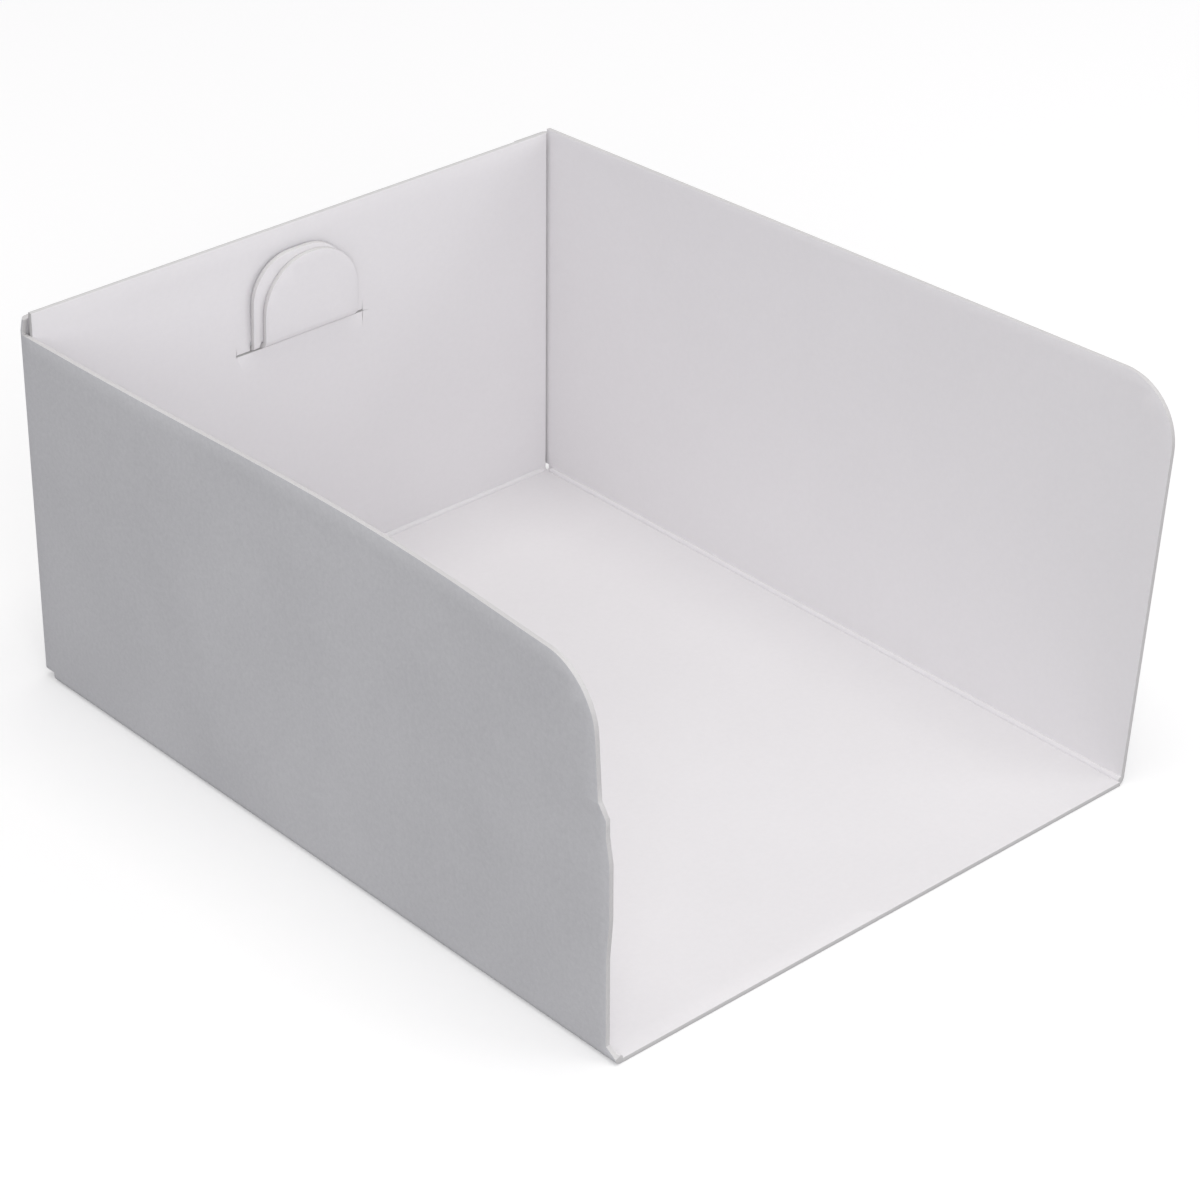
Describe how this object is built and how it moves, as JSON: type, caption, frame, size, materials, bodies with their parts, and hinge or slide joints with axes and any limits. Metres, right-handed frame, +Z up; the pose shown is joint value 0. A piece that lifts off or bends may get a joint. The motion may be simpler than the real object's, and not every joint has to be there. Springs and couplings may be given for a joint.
{
  "type": "tray box",
  "caption": "Open-fronted tray box folded from one sheet of white board, with rounded wall corners and a tongue lock in the back panel.",
  "frame": {"origin": "middle of the underside of the base: half way between the side walls, and half way between the base's front edge and the inside of the back panel", "axes": "+Z up, +Y towards the closed back, +X to the right seen from the open front"},
  "size_m": [0.1706, 0.2071, 0.1018],
  "materials": {
    "white_board": "matt white-lined board, smooth inside, with a fine grey fibre mottle outside"
  },
  "bodies": {
    "root": {"tray_box": "white_board"}
  },
  "joints": []
}
